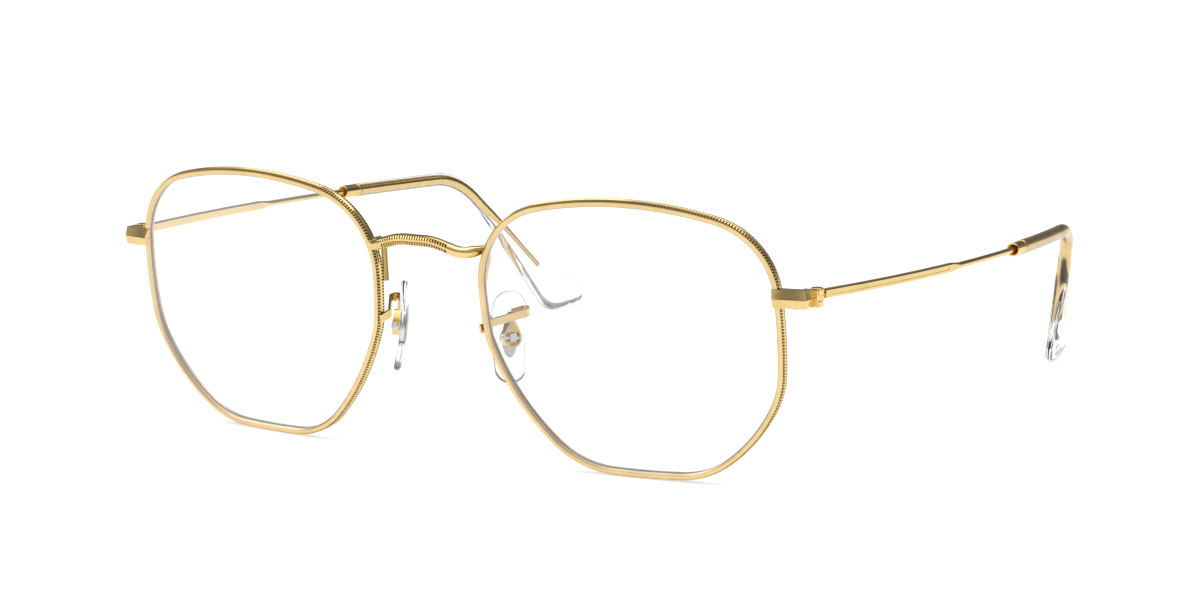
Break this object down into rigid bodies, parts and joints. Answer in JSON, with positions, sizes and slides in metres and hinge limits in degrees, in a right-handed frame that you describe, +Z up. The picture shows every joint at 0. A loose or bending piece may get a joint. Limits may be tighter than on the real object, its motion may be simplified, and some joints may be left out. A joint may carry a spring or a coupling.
{
  "type": "hexagonal eyeglasses",
  "caption": "Metal-rimmed eyeglasses with softly hexagonal lenses, an arched wire bridge, adjustable nose pads and folding temples with clear tips.",
  "frame": {"origin": "middle of the whole on the surface that the rims' bottoms and the temple tips stand on", "axes": "+X towards the wearer's left lens, +Y from the front back along the temples, +Z up"},
  "size_m": [0.148, 0.1482, 0.0484],
  "materials": {
    "light_gold_metal": "polished light gold plating",
    "gold_screw": "polished, slotted",
    "silver_metal": "bright nickel",
    "clear_lens": "clear, coated",
    "clear_tip": "clear, polished",
    "clear_pad": "clear, soft gloss"
  },
  "bodies": {
    "front": {"bridge": "light_gold_metal", "rim_left": "light_gold_metal", "lens_left": "clear_lens", "endpiece_left": "light_gold_metal", "closing_block_left": "light_gold_metal", "rim_lock_screw_left": "gold_screw", "hinge_screw_left": "gold_screw", "pad_arm_left": "light_gold_metal", "pad_box_left": "light_gold_metal", "pad_screw_left": "silver_metal", "rim_right": "light_gold_metal", "lens_right": "clear_lens", "endpiece_right": "light_gold_metal", "closing_block_right": "light_gold_metal", "rim_lock_screw_right": "gold_screw", "hinge_screw_right": "gold_screw", "pad_arm_right": "light_gold_metal", "pad_box_right": "light_gold_metal", "pad_screw_right": "silver_metal"},
    "temple_left": {"temple_left": "light_gold_metal", "ferrule_left": "light_gold_metal", "temple_tip_left": "clear_tip"},
    "nose_pad_left": {"nose_pad_left": "clear_pad", "pad_insert_left": "silver_metal"},
    "temple_right": {"temple_right": "light_gold_metal", "ferrule_right": "light_gold_metal", "temple_tip_right": "clear_tip"},
    "nose_pad_right": {"nose_pad_right": "clear_pad", "pad_insert_right": "silver_metal"}
  },
  "joints": [
    {"name": "temple_left_fold", "type": "hinge", "parent": "front", "child": "temple_left", "pos_m": [0.069, -0.05909, 0.0333], "axis": [0, 0, 1], "range_deg": [0, 84]},
    {"name": "temple_right_fold", "type": "hinge", "parent": "front", "child": "temple_right", "pos_m": [-0.069, -0.05909, 0.0333], "axis": [0, 0, -1], "range_deg": [0, 76]},
    {"name": "nose_pad_left_rock", "type": "hinge", "parent": "front", "child": "nose_pad_left", "pos_m": [0.01188, -0.06182, 0.02157], "axis": [0.4848, 0.87, -0.0899], "range_deg": [-6, 2.5]},
    {"name": "nose_pad_right_rock", "type": "hinge", "parent": "front", "child": "nose_pad_right", "pos_m": [-0.01188, -0.06182, 0.02157], "axis": [0.4848, -0.87, 0.0899], "range_deg": [-6, 2.5]}
  ]
}
